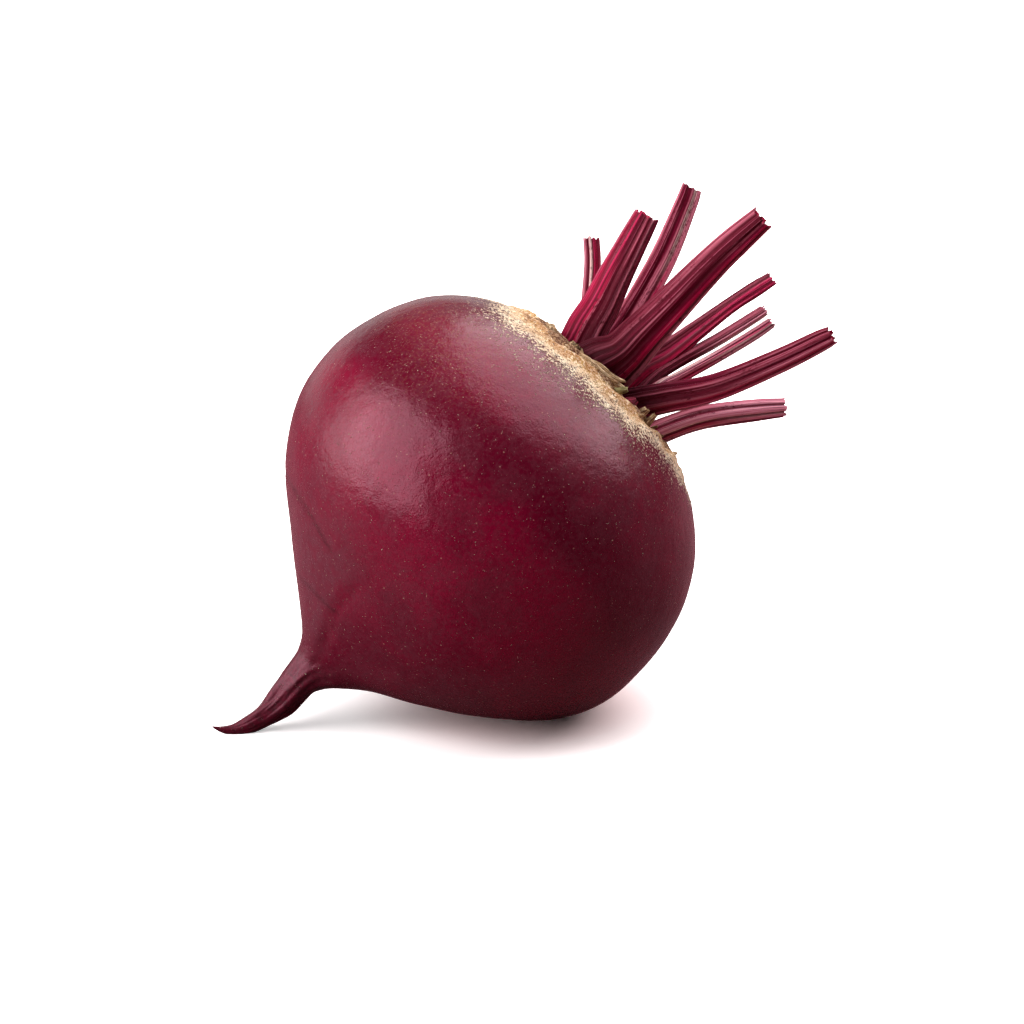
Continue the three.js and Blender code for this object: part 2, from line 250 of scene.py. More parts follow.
def closed_piece(name, shells, material, attributes=None):
    """Mesh of closed skins: rows of points round each, with a point that closes each end.

    The texture map runs from 0 to 1 round a skin and in millimetres along it. Attributes are numbers at
    the points, in the order of the rows, without the two end points.
    """
    places, corners, sizes, maps, base = [], [], [], [], 0
    for rows, first, last in shells:
        count, sides, _ = rows.shape
        places.append(np.vstack([first[None], rows.reshape(-1, 3), last[None]]))
        at = base + 1 + np.arange(count * sides).reshape(count, sides)
        beside = np.roll(at, -1, axis=1)
        quads = np.stack([at[:-1], beside[:-1], beside[1:], at[1:]], -1).reshape(-1, 4)
        end = base + 1 + count * sides
        start_fan = np.stack([np.full(sides, base), beside[0], at[0]], -1)
        end_fan = np.stack([np.full(sides, end), at[-1], beside[-1]], -1)
        corners += [quads.ravel(), start_fan.ravel(), end_fan.ravel()]
        sizes += [np.full(len(quads), 4), np.full(2 * sides, 3)]
        steps = np.linalg.norm(np.diff(rows, axis=0), axis=2).mean(axis=1)
        length = np.concatenate([[0], np.cumsum(steps)])
        left = np.broadcast_to(np.arange(sides) / sides, (count, sides))
        right = left + 1 / sides
        reach = np.broadcast_to(length[:, None], (count, sides))
        quad_map = np.stack(
            [
                np.stack([left[:-1], right[:-1], right[1:], left[1:]], -1),
                np.stack([reach[:-1], reach[:-1], reach[1:], reach[1:]], -1),
            ],
            -1,
        )
        middle = left[0] + 0.5 / sides
        start_map = np.stack([np.stack([middle, right[0], left[0]], -1), np.full((sides, 3), length[0])], -1)
        end_map = np.stack([np.stack([middle, left[0], right[0]], -1), np.full((sides, 3), length[-1])], -1)
        maps += [quad_map.reshape(-1, 2), start_map.reshape(-1, 2), end_map.reshape(-1, 2)]
        base = end + 1
    points = np.vstack(places) * MM
    corners = np.concatenate(corners)
    sizes = np.concatenate(sizes)
    mesh = bpy.data.meshes.new(name)
    mesh.vertices.add(len(points))
    mesh.vertices.foreach_set("co", points.ravel())
    mesh.loops.add(len(corners))
    mesh.loops.foreach_set("vertex_index", corners.astype(np.int32))
    mesh.polygons.add(len(sizes))
    starts = np.concatenate([[0], np.cumsum(sizes)[:-1]])
    mesh.polygons.foreach_set("loop_start", starts.astype(np.int32))
    mesh.polygons.foreach_set("use_smooth", np.ones(len(sizes), bool))
    mesh.uv_layers.new(name="wrap").uv.foreach_set("vector", np.vstack(maps).ravel())
    for label, per_shell in (attributes or {}).items():
        padded = [np.concatenate([a.ravel()[:1], a.ravel(), a.ravel()[-1:]]) for a in per_shell]
        mesh.attributes.new(label, "FLOAT", "POINT").data.foreach_set("value", np.concatenate(padded))
    mesh.update(calc_edges=True)
    mesh.validate()
    mesh.materials.append(material)
    piece = bpy.data.objects.new(name, mesh)
    bpy.context.collection.objects.link(piece)
    return piece


def node(tree, kind, inputs=None, **settings):
    """One shader node in a tree. An input is a value or another node's output."""
    made = tree.nodes.new("ShaderNode" + kind)
    for key, value in settings.items():
        setattr(made, key, value)
    for key, value in (inputs or {}).items():
        if isinstance(value, bpy.types.NodeSocket):
            tree.links.new(value, made.inputs[key])
        else:
            made.inputs[key].default_value = value
    return made


def group(name, inputs, outputs):
    """Empty shader node group with named inputs, each with its value, and named outputs."""
    tree = bpy.data.node_groups.new(name, "ShaderNodeTree")
    for label, (kind, value) in inputs.items():
        socket = tree.interface.new_socket(label, in_out="INPUT", socket_type="NodeSocket" + kind)
        if value is not None:
            socket.default_value = value
    for label, kind in outputs.items():
        tree.interface.new_socket(label, in_out="OUTPUT", socket_type="NodeSocket" + kind)
    return tree, tree.nodes.new("NodeGroupInput").outputs, tree.nodes.new("NodeGroupOutput").inputs


def blended(tree, share, low, high, way="MIX"):
    """Colour that goes from low to high as share goes from 0 to 1."""
    made = node(tree, "Mix", {0: share, 6: low, 7: high}, data_type="RGBA", blend_type=way)
    return made.outputs[2]


def eased(tree, value, low, high, to_low=0.0, to_high=1.0):
    """Value spread in an S-curve from low..high to to_low..to_high."""
    made = node(
        tree,
        "MapRange",
        {"Value": value, "From Min": low, "From Max": high, "To Min": to_low, "To Max": to_high},
        interpolation_type="SMOOTHSTEP",
    )
    return made.outputs["Result"]


def arithmetic(tree, way, first, second=0.0):
    """One sum, difference or the like of two values."""
    return node(tree, "Math", {0: first, 1: second}, operation=way).outputs[0]


def times(tree, first, second):
    """Product of two values."""
    return arithmetic(tree, "MULTIPLY", first, second)


def noise(tree, where, scale, detail, roughness, distortion=0.0):
    """Random value from 0 to 1 at a place, at a scale in swells a unit."""
    inputs = {"Vector": where, "Scale": scale, "Detail": detail, "Roughness": roughness}
    inputs["Distortion"] = distortion
    return node(tree, "TexNoise", inputs).outputs["Fac"]


# Flecks: small spots scattered through a volume.
flecks, fleck_in, fleck_out = group(
    "Flecks",
    {"Vector": ("Vector", None), "Scale": ("Float", 1.0), "Share": ("Float", 0.2), "Size": ("Float", 0.3)},
    {"Mask": "Float"},
)
fleck_cells = node(flecks, "TexVoronoi", {"Vector": fleck_in["Vector"], "Scale": fleck_in["Scale"]})
fleck_pick = node(flecks, "SeparateColor", {"Color": fleck_cells.outputs["Color"]})
fleck_chosen = arithmetic(flecks, "LESS_THAN", fleck_pick.outputs[0], fleck_in["Share"])
fleck_size = times(flecks, fleck_in["Size"], fleck_pick.outputs[1])
fleck_spot = arithmetic(flecks, "LESS_THAN", fleck_cells.outputs["Distance"], fleck_size)
flecks.links.new(times(flecks, fleck_chosen, fleck_spot), fleck_out["Mask"])

# Mottle: cloudy variation between dark and light, at a scale in swells a unit.
mottle, mottle_in, mottle_out = group(
    "Mottle",
    {"Vector": ("Vector", None), "Scale": ("Float", 1.0), "Low": ("Float", 0.35), "High": ("Float", 0.65)},
    {"Share": "Float"},
)
mottle_noise = noise(mottle, mottle_in["Vector"], mottle_in["Scale"], 5.0, 0.65)
mottle.links.new(eased(mottle, mottle_noise, mottle_in["Low"], mottle_in["High"]), mottle_out["Share"])


def mottled(tree, where, scale, low, high):
    """Cloudy share from 0 to 1, from the mottle group."""
    inputs = {"Vector": where, "Scale": scale, "Low": low, "High": high}
    return node(tree, "Group", inputs, node_tree=mottle).outputs[0]


SKIN_CRIMSON = (0.175, 0.0018, 0.020, 1)
SKIN_WINE = (0.080, 0.0010, 0.010, 1)
# A greyish dull bloom; spread on the shoulder and flanks it is partly painted sheen, in the smudges the
# skin's own tone.
SKIN_DUSKY = (0.105, 0.028, 0.040, 1)
SKIN_BRONZE = (0.17, 0.065, 0.036, 1)
SKIN_SPECK = (0.42, 0.22, 0.17, 1)
CORK_TAN = (0.60, 0.34, 0.12, 1)
CORK_CREAM = (1.0, 0.82, 0.6, 1)
CORK_BROWN = (0.070, 0.024, 0.014, 1)
CORK_HUSK = (0.36, 0.20, 0.10, 1)
CORK_TANNED = (0.55, 0.36, 0.24, 1)
SCAR_DARK = (0.030, 0.006, 0.008, 1)
SKIN_REFLECTION = (1.0, 0.45, 0.58, 1)
SKIN_IOR = 1.39
CORK_ROUGHNESS = 0.8

# Heights of the bumps finer than the mesh, in millimetres.
FINE_BUMP = 0.05
DENT_BUMP = 0.16
SPECK_BUMP = 0.04
CORK_BUMP = 0.35

skin = bpy.data.materials.new("beet_skin")
skin.use_nodes = True
tree = skin.node_tree
shader = tree.nodes["Principled BSDF"]
where = node(tree, "TexCoord").outputs["Object"]
where = node(tree, "VectorMath", {0: where, "Scale": 1 / MM}, operation="SCALE").outputs[0]
cork, bloom_and_sheen, band, bronze, scar, husk_and_shade, tail = (
    node(tree, "Attribute", attribute_name=label).outputs["Fac"]
    for label in ("cork", "bloom_and_sheen", "band", "bronze", "scar", "husk_and_shade", "tail")
)
broad = mottled(tree, where, 0.06, 0.38, 0.62)
smudge = mottled(tree, where, 0.14, 0.46, 0.62)
cloudy = mottled(tree, where, 0.45, 0.3, 0.7)
dusty = mottled(tree, where, 1.1, 0.45, 0.6)
grainy = mottled(tree, where, 2.4, 0.25, 0.75)
grit = noise(tree, where, 2.3, 4.0, 0.6)
scratchy = noise(tree, where, 0.9, 8.0, 0.75, 0.6)
fine = noise(tree, where, 2.8, 2.0, 0.6)
dented = noise(tree, where, 0.4, 4.0, 0.55)
fleck_settings = {"Vector": where, "Scale": 1.0, "Share": 0.4, "Size": 0.17}
speck = node(tree, "Group", fleck_settings, node_tree=flecks).outputs[0]

# Crimson that deepens to wine in clouds and in bands of painted shade, under a dull bloom that is partly
# painted sheen, with smudges, bronze grit and pale specks.
wine_share = eased(tree, arithmetic(tree, "ADD", times(tree, broad, 0.5), band), 0, 1.2)
colour = blended(tree, wine_share, SKIN_CRIMSON, SKIN_WINE)
bloom_and_sheen_cover = times(tree, bloom_and_sheen, eased(tree, cloudy, 0, 1, 0.55, 1.0))
colour = blended(tree, bloom_and_sheen_cover, colour, SKIN_DUSKY)
colour = blended(tree, times(tree, smudge, 0.25), colour, SKIN_DUSKY)
colour = blended(tree, times(tree, grainy, 0.5), colour, SKIN_WINE)
colour = blended(tree, times(tree, dusty, 0.22), colour, SKIN_DUSKY)
bronzed = times(tree, bronze, eased(tree, grit, 0.48, 0.62, 0.0, 0.45))
colour = blended(tree, bronzed, colour, SKIN_BRONZE)
colour = blended(tree, times(tree, speck, 0.4), colour, SKIN_SPECK)

# Cork: tan and cream grains, all cream where it thins out, tanned in clouds, with dark cracks, and dark
# husk mixed with painted shade round the stalks' feet.
cork_colour = blended(tree, eased(tree, grit, 0.45, 0.62), CORK_TAN, CORK_CREAM)
cork_colour = blended(tree, eased(tree, cork, 0.7, 0.98), CORK_CREAM, cork_colour)
tanned = times(tree, eased(tree, cloudy, 0.25, 0.75, 0, 0.75), cork)
cork_colour = blended(tree, tanned, cork_colour, CORK_TANNED, "MULTIPLY")
cork_colour = blended(tree, eased(tree, scratchy, 0.46, 0.36, 0, 0.85), cork_colour, CORK_BROWN)
# Painted shade round the stalks' feet, mixed with dark husk, and dark husk in one patch.
husk_and_shade_edge = times(tree, arithmetic(tree, "SUBTRACT", scratchy, 0.5), 2.4)
husk_and_shade_mask = eased(tree, arithmetic(tree, "ADD", husk_and_shade, husk_and_shade_edge), 0.3, 0.6, 0, 0.9)
crackled = blended(tree, eased(tree, grit, 0.47, 0.56), CORK_BROWN, CORK_HUSK)
cork_colour = blended(tree, husk_and_shade_mask, cork_colour, crackled)
cork_edge = times(tree, arithmetic(tree, "SUBTRACT", grit, 0.5), 2.6)
corky = eased(tree, arithmetic(tree, "ADD", cork, cork_edge), 0.42, 0.68)
colour = blended(tree, corky, colour, cork_colour)

# Dark wrinkles along the tail, and broken dark lines in the scars.
wrinkled = times(tree, tail, eased(tree, scratchy, 0.54, 0.42, 0, 0.7))
colour = blended(tree, wrinkled, colour, SCAR_DARK)
broken = times(tree, scar, eased(tree, scratchy, 0.38, 0.56, 0.35, 0.95))
colour = blended(tree, broken, colour, SCAR_DARK)
tree.links.new(colour, shader.inputs["Base Color"])

# The skin's satin sheen, duller on the tail and matt on the cork, and its fine bumps.
sheen = eased(tree, cloudy, 0, 1, 0.15, 0.22)
sheen = arithmetic(tree, "ADD", sheen, eased(tree, grit, 0.42, 0.62, -0.04, 0.09))
sheen = arithmetic(tree, "ADD", sheen, times(tree, tail, 0.22))
rough = node(tree, "Mix", {0: corky, 2: sheen, 3: CORK_ROUGHNESS}).outputs[0]
tree.links.new(rough, shader.inputs["Roughness"])
bumps = arithmetic(tree, "ADD", times(tree, fine, FINE_BUMP), times(tree, dented, DENT_BUMP))
bumps = arithmetic(tree, "ADD", bumps, times(tree, speck, SPECK_BUMP))
cork_bumps = times(tree, times(tree, arithmetic(tree, "ADD", scratchy, grit), CORK_BUMP), corky)
bumps = arithmetic(tree, "ADD", bumps, cork_bumps)
bump = node(tree, "Bump", {"Height": bumps, "Strength": 1.0, "Distance": MM})
tree.links.new(bump.outputs[0], shader.inputs["Normal"])
shader.inputs["IOR"].default_value = SKIN_IOR
shader.inputs["Specular Tint"].default_value = SKIN_REFLECTION

along, angle = np.meshgrid(
    np.linspace(0, 1, ROOT_ROWS),
    np.linspace(0, 2 * np.pi, ROOT_COLUMNS, endpoint=False),
    indexing="ij",
)
rows = root_skin(along[:-1], angle[:-1])
tip = root_skin(np.zeros(1), np.zeros(1))[0] - 0.2 * AXIS
crown_middle = WIDEST + AXIS * ROOT_STATIONS[-1][0]
(height, _, radius), _ = curve_through(ROOT_STATIONS, along[:-1])
turn = angle[:-1]

# Where the colours go: a dull bloom, partly painted sheen, on the shoulder, the tail side and the left flank,
# where the lamps' reflections fall; a wine band of painted shade round the widest part, wine also as painted
# shade towards the underside and darker on the tail; bronze grit on the upper side and near the cork; painted
# shade mixed with husk round the stalks, and husk in one patch.
FLANK_TURN = np.radians(195)
UPPER_TURN = np.radians(180)
HUSK_TURN = np.radians(199)
low_side = smoothstep(-height, 4, 40)
shoulder = smoothstep(height, 2, 20)
patchy = unevenness(np.cos(turn) * 2.1, np.sin(turn) * 2.1, height / 22)
# Painted shade: a darker wine band just above the widest part, between the two reflections of the lamps.
painted_shade_band = np.exp(-(((height - 7 + 2.5 * patchy) / 6.5) ** 2))
# The bloom, partly painted sheen, is laid where the lamps' reflections fall and cleared from the band of
# painted shade.
bloom_and_sheen_base = 0.04 + 0.65 * shoulder + 0.25 * low_side + 0.25 * patchy
bloom_and_sheen_share = np.clip(bloom_and_sheen_base * (1 - 0.9 * painted_shade_band), 0, 1)
# Painted sheen: more bloom on the lower left flank, where the left lamps' haze falls.
left_flank = smoothstep(-height, 12, 34) * smoothstep(np.cos(turn - FLANK_TURN), 0.75, 0.95)
bloom_and_sheen_share = np.clip(bloom_and_sheen_share + 0.65 * left_flank, 0, 1) * (1 - 0.7 * smoothstep(-height, 40, 48))
bloom_and_sheen_share = bloom_and_sheen_share * (1 - 0.9 * line_nearness(height, turn, radius, TAIL_GROOVE, 3.6))
# Painted shade where the cork meets the stalks' feet, in dark brown with husk; beside it a dark husk patch.
rim_share = 1 - smoothstep(radius + 1.2 * unevenness(np.cos(turn) * 9, np.sin(turn) * 9, radius), 16.5, 19.5)
patch_edge = 0.05 * unevenness(np.cos(turn) * 14, np.sin(turn) * 14, radius / 2)
patch_nearness = smoothstep(np.cos(turn - HUSK_TURN) + patch_edge, 0.9, 0.99)
patch_nearness = patch_nearness * (1 - smoothstep(radius + 30 * patch_edge, 19.5, 25))
husk_and_shade_share = np.clip(0.85 * rim_share + patch_nearness, 0, 1) * (height > 0)
# Wine deepens as painted shade in that band and towards the underside, and is darker still on the tail.
band_share = np.clip(painted_shade_band + 0.5 * low_side + 0.6 * smoothstep(-height, 38, 50), 0, 1)
bronze_share = np.clip(
    smoothstep(height, 2, 16) * smoothstep(np.cos(turn - UPPER_TURN), 0.45, 0.95) * 0.9
    + 0.25 * smoothstep(patchy, 0.1, 0.7)
    + 0.5 * cork_share(height, radius - 5, turn),
    0,
    1,
)
scar_share = np.maximum.reduce(
    [
        dark * line_nearness(height, turn, radius, marks, half_width)
        for marks, half_width, _, dark in SKIN_MARKS
    ]
)
root = closed_piece(
    "root_skin",
    [(rows, tip, crown_middle)],
    skin,
    {
        "cork": [cork_share(height, radius, turn)],
        "bloom_and_sheen": [bloom_and_sheen_share],
        "band": [band_share],
        "bronze": [bronze_share],
        "scar": [scar_share],
        "husk_and_shade": [husk_and_shade_share],
        "tail": [smoothstep(-height, 41, 50)],
    },
)
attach(root, "root")
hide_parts("root")


# THE LEAF STALKS
# Nine fleshy leaf stalks, ribbed outside and channelled inside, left when the leaves were cut off.
# Each widens to a thin foot that grows from the crown, and its ribs end raggedly at the cut.

FAR_TURN = np.radians(66.6)
STALK_RIBS = 8
RIB_DEPTH = 0.055
CHANNEL_DEPTH = 0.2
ROUND_WIDTH = 6
CURL = 0.28
CUT_HOLLOW = 0.8
STALK_ROWS = 110
STALK_COLUMNS = 144

# Finer ribs: one that splits each main rib, one that wanders, and threads between them.
SPLIT_DEPTH = 0.026
WANDER_DEPTH = 0.040
THREAD_DEPTH = 0.022

# The cut end: how far each rib's end stands off at most, the notch between two, and its torn grain.
TOOTH = 0.3
NOTCH = 0.35
TORN = 0.22
CUT_SHARES = [0.97, 0.92, 0.84, 0.7, 0.5, 0.3, 0.12]

# The pale colours, pink and cream, stand partly for the stalks' own pale lines and partly for painted
# highlights.
STALK_COLOURS = {
    "black": (0.070, 0.0010, 0.008, 1),
    "wine": (0.125, 0.0020, 0.018, 1),
    "plum": (0.185, 0.022, 0.042, 1),
    "crimson": (0.36, 0.006, 0.044, 1),
    "red": (0.52, 0.022, 0.090, 1),
    "mauve": (0.38, 0.080, 0.120, 1),
    "rose": (0.56, 0.150, 0.215, 1),
    "pink": (0.84, 0.34, 0.44, 1),
    "cream": (0.95, 0.66, 0.62, 1),
}

# Each stalk: the angle its outward face points to, in degrees from the far side towards the upper side;
# stations of height, upper, far, width, thickness; and its stripes. The stripes run from one edge of a
# broad side (-1) to the other (1), lower down and at the top, and "middle" is that side's middle, in
# degrees from the outward face. The pale stops are partly the stalks' own pale lines and partly painted
# highlights of the lamps. "shade" is how much painted shade darkens the foot, where the stalks crowd
# together.
STALKS = [
    {
        "out": 45,
        "stations": [
            (30, 4.5, 6.5, 6.5, 3.6),
            (35, 7.6, 7.2, 4.8, 3.6),
            (42.9, 14.5, 8.6, 3.9, 3.3),
            (47.8, 18.9, 9.6, 3.6, 3.1),
            (50.9, 22.3, 10.4, 3.5, 3.0),
        ],
        "middle": 144,
        "shade": 0.3,
        "stripes": [
            (-1, "crimson"), (-0.9, "mauve"), (-0.75, "crimson"), (-0.45, "crimson"), (-0.2, "red"),
            (0, "red"), (0.2, "red"), (0.5, "crimson"), (0.75, "crimson"), (1, "plum"),
        ],
        "top": [
            (-1, "mauve"), (-0.88, "pink"), (-0.72, "mauve"), (-0.62, "wine"), (-0.48, "plum"),
            (-0.3, "mauve"), (-0.12, "cream"), (0.02, "cream"), (0.14, "mauve"), (0.3, "red"),
            (0.5, "crimson"), (0.8, "crimson"), (1, "rose"),
        ],
    },
    {
        "out": 150,
        "stations": [
            (30, 8.9, -5.8, 8.0, 4.4),
            (33, 9.3, -6, 8.4, 4.4),
            (37, 10.5, -6.4, 8.5, 4.4),
            (41.5, 11.5, -7.2, 7.8, 4.3),
            (47.7, 13.5, -8.4, 6.9, 4.2),
            (55.9, 15.9, -9.8, 5.8, 4.1),
            (59.6, 17.0, -10.5, 5.2, 3.9),
        ],
        "middle": 19,
        "shade": 0.25,
        "stripes": [
            (-1, "mauve"), (-0.88, "red"), (-0.8, "crimson"), (-0.62, "crimson"), (-0.5, "red"),
            (-0.36, "wine"), (-0.24, "crimson"), (-0.08, "black"), (0.06, "plum"), (0.2, "black"),
            (0.34, "black"), (0.55, "rose"), (0.66, "plum"), (0.82, "black"), (1, "mauve"),
        ],
        "top": [
            (-1, "rose"), (-0.93, "pink"), (-0.84, "crimson"), (-0.7, "crimson"), (-0.6, "rose"),
            (-0.49, "crimson"), (-0.38, "red"), (-0.26, "wine"), (-0.1, "wine"), (0.05, "mauve"),
            (0.15, "plum"), (0.54, "plum"), (0.66, "pink"), (0.76, "mauve"), (0.87, "wine"), (1, "mauve"),
        ],
    },
    {
        "out": 20,
        "stations": [
            (30, 3.6, 5.4, 6.8, 4.4),
            (38.9, 4.9, 6, 5.6, 4.2),
            (45.1, 6.1, 7, 5.3, 4.1),
            (57.6, 9.5, 9.4, 5.2, 4.0),
            (68.6, 13.9, 12.2, 4.5, 3.7),
            (72, 15.5, 13, 4.1, 3.5),
        ],
        "middle": 164,
        "shade": 0.5,
        "stripes": [
            (-1, "mauve"), (-0.86, "mauve"), (-0.74, "wine"), (-0.48, "wine"), (-0.34, "black"),
            (-0.14, "black"), (0, "wine"), (0.12, "mauve"), (0.24, "rose"), (0.36, "rose"), (0.6, "mauve"),
            (0.76, "red"), (0.92, "rose"),
        ],
        "top": [
            (-1, "mauve"), (-0.9, "rose"), (-0.8, "plum"), (-0.72, "wine"), (-0.54, "wine"),
            (-0.4, "black"), (-0.06, "wine"), (0.1, "wine"), (0.22, "mauve"), (0.34, "rose"),
            (0.46, "cream"), (0.6, "cream"), (0.74, "rose"), (0.84, "rose"), (0.95, "rose"),
        ],
    },
    {
        "out": 175,
        "stations": [
            (30, 3.4, -10.4, 12.6, 3.6),
            (33.4, 2.7, -11.2, 11.8, 4.0),
            (37.5, 1.7, -12.4, 9.0, 4.8),
            (42.4, 1.8, -13.7, 8.0, 5.0),
            (49, 1.8, -15.4, 7.0, 5.0),
            (60.9, 1.9, -18.3, 5.8, 4.6),
            (67, 1.6, -20, 5.3, 4.3),
            (73, 1.1, -21.9, 4.5, 4.0),
        ],
        "middle": 4,
        "shade": 0.75,
        "stripes": [
            (-1, "plum"), (-0.93, "wine"), (-0.87, "plum"), (-0.81, "black"), (-0.72, "plum"),
            (-0.56, "plum"), (-0.44, "wine"), (-0.32, "wine"), (-0.2, "black"), (-0.1, "plum"),
            (0, "black"), (0.1, "wine"), (0.3, "black"), (0.48, "wine"), (0.6, "crimson"),
            (0.74, "crimson"), (0.88, "rose"), (1, "pink"),
        ],
        "top": [
            (-1, "mauve"), (-0.9, "mauve"), (-0.75, "mauve"), (-0.42, "plum"), (-0.28, "wine"),
            (-0.15, "black"), (0.12, "black"), (0.28, "plum"), (0.34, "mauve"), (0.46, "wine"),
            (0.56, "wine"), (0.68, "crimson"), (0.8, "red"), (1, "rose"),
        ],
    },
    {
        "out": -10,
        "stations": [
            (30, -1.8, 8, 7.0, 3.6),
            (39.8, -2.4, 8.6, 5.8, 3.5),
            (45.1, -3.9, 9.5, 4.8, 3.3),
            (52.7, -5.0, 11.6, 3.7, 3.2),
            (61.1, -6.2, 14, 3.0, 3.0),
            (67, -7.4, 15.4, 3.0, 2.9),
            (71.1, -8.3, 16.4, 2.6, 2.7),
        ],
        "middle": 190,
        "shade": 0.8,
        "stripes": [
            (-1, "mauve"), (-0.85, "mauve"), (-0.7, "black"), (-0.5, "crimson"), (-0.3, "wine"),
            (-0.12, "red"), (0.1, "rose"), (0.25, "crimson"), (0.5, "crimson"), (0.72, "crimson"),
            (1, "crimson"),
        ],
        "top": [
            (-1, "wine"), (-0.86, "plum"), (-0.7, "mauve"), (-0.5, "mauve"), (-0.2, "red"), (0, "red"),
            (0.18, "red"), (0.32, "crimson"), (0.72, "red"), (0.88, "red"), (1, "rose"),
        ],
    },
    {
        "out": -60,
        "stations": [
            (30, -5.6, 7.2, 6.4, 3.4),
            (39.5, -5.2, 8.1, 4.3, 3.1),
            (45.5, -6.5, 9.6, 2.9, 2.9),
            (54.3, -9.0, 12, 2.5, 2.8),
            (62.9, -11.0, 14.2, 2.5, 2.6),
            (65.3, -11.5, 14.8, 2.4, 2.5),
        ],
        "middle": 243,
        "shade": 0.8,
        "stripes": [
            (-1, "pink"), (-0.8, "plum"), (-0.58, "mauve"), (-0.3, "wine"), (-0.1, "black"),
            (0.25, "black"), (0.55, "plum"), (0.75, "black"), (1, "wine"),
        ],
        "top": [
            (-1, "rose"), (-0.6, "mauve"), (-0.4, "mauve"), (-0.24, "plum"), (-0.06, "rose"),
            (0.2, "rose"), (0.38, "pink"), (0.54, "rose"), (0.7, "pink"), (0.9, "cream"),
        ],
    },
    {
        "out": -75,
        "stations": [
            (30, -7.4, 0.8, 6.4, 3.4),
            (38.4, -7.3, 2.2, 4.2, 3.1),
            (43.2, -8.7, 4.2, 2.8, 2.9),
            (51.3, -11.0, 7.2, 2.3, 2.8),
            (59.7, -13.1, 9.7, 2.2, 2.8),
            (64.2, -14.0, 10.5, 2.1, 2.6),
        ],
        "middle": 262,
        "shade": 0.7,
        "stripes": [
            (-1, "rose"), (-0.85, "cream"), (-0.6, "cream"), (-0.35, "pink"), (-0.1, "rose"),
            (0.1, "rose"), (0.3, "mauve"), (0.45, "crimson"), (0.72, "red"), (1, "rose"),
        ],
        "top": [
            (-1, "cream"), (-0.8, "rose"), (-0.6, "pink"), (-0.4, "rose"), (-0.2, "rose"), (0, "red"),
            (0.2, "pink"), (0.38, "cream"), (0.55, "rose"), (0.7, "pink"), (1, "cream"),
        ],
    },
    {
        "out": -150,
        "stations": [
            (30, -5.4, -8.4, 8.0, 4.4),
            (33.6, -7.2, -9, 6.6, 4.5),
            (37.1, -9.5, -10, 6.1, 4.5),
            (45.3, -14.9, -12.3, 5.4, 4.3),
            (56.7, -19.7, -15, 4.7, 4.2),
            (65, -22.6, -16.3, 4.2, 3.9),
            (67.4, -23.4, -16.8, 3.6, 3.5),
        ],
        "middle": 336,
        "shade": 0.7,
        "stripes": [
            (-1, "black"), (-0.9, "wine"), (-0.7, "wine"), (-0.5, "wine"), (-0.38, "mauve"),
            (-0.24, "black"), (-0.1, "plum"), (0.05, "plum"), (0.14, "black"), (0.4, "plum"),
            (0.48, "mauve"), (0.6, "red"), (0.76, "red"), (0.92, "rose"),
        ],
        "top": [
            (-1, "wine"), (-0.84, "plum"), (-0.74, "black"), (-0.5, "plum"), (-0.25, "plum"),
            (-0.1, "plum"), (0.02, "black"), (0.12, "wine"), (0.28, "rose"), (0.42, "mauve"), (0.6, "red"),
            (0.72, "mauve"), (0.92, "rose"),
        ],
    },
    {
        "out": -115,
        "stations": [
            (30, -12.6, -0.8, 6.4, 4.8),
            (33.7, -13.8, -0.6, 5.7, 4.8),
            (40.6, -17.3, 0.1, 5.2, 4.7),
            (49, -23.7, 1.1, 4.8, 4.4),
            (53.2, -27.2, 1.5, 4.0, 3.9),
        ],
        "middle": 306,
        "shade": 0.1,
        "stripes": [
            (-1, "mauve"), (-0.8, "mauve"), (-0.66, "rose"), (-0.5, "rose"), (-0.4, "pink"),
            (-0.28, "red"), (-0.14, "rose"), (0, "pink"), (0.12, "rose"), (0.26, "pink"), (0.4, "cream"),
            (0.52, "rose"), (0.62, "red"), (0.76, "rose"), (0.95, "pink"),
        ],
        "top": [
            (-1, "rose"), (-0.86, "rose"), (-0.68, "rose"), (-0.5, "pink"), (-0.38, "pink"),
            (-0.3, "rose"), (-0.2, "pink"), (-0.04, "pink"), (0.12, "rose"), (0.3, "pink"), (0.5, "cream"),
            (0.62, "pink"), (0.78, "pink"), (0.93, "rose"),
        ],
    },
]


def across(turn):
    """Direction across the root's axis, at an angle round from the underside."""
    return UNDER * np.cos(turn) + SIDE * np.sin(turn)


FAR = across(FAR_TURN)
UPPER = across(FAR_TURN + np.pi / 2)


def bar_frame(stations, out, along):
    """Middle line of a bar and the directions it is built on.

    Ahead runs along the middle line, face is the outward direction made square to it, and sideways is
    square to both. Gives middle, ahead, face, sideways, width and thickness at each place along.
    """
    (height, upper, far, width, thickness), rate = curve_through(stations, along)
    middle = WIDEST + AXIS * height[:, None] + UPPER * upper[:, None] + FAR * far[:, None]
    ahead = AXIS * rate[0][:, None] + UPPER * rate[1][:, None] + FAR * rate[2][:, None]
    ahead = ahead / np.linalg.norm(ahead, axis=1, keepdims=True)
    outward = across(FAR_TURN + np.radians(out))
    face = outward - ahead * (ahead @ outward)[:, None]
    face = face / np.linalg.norm(face, axis=1, keepdims=True)
    return middle, ahead, face, np.cross(ahead, face), width[:, None], thickness[:, None]


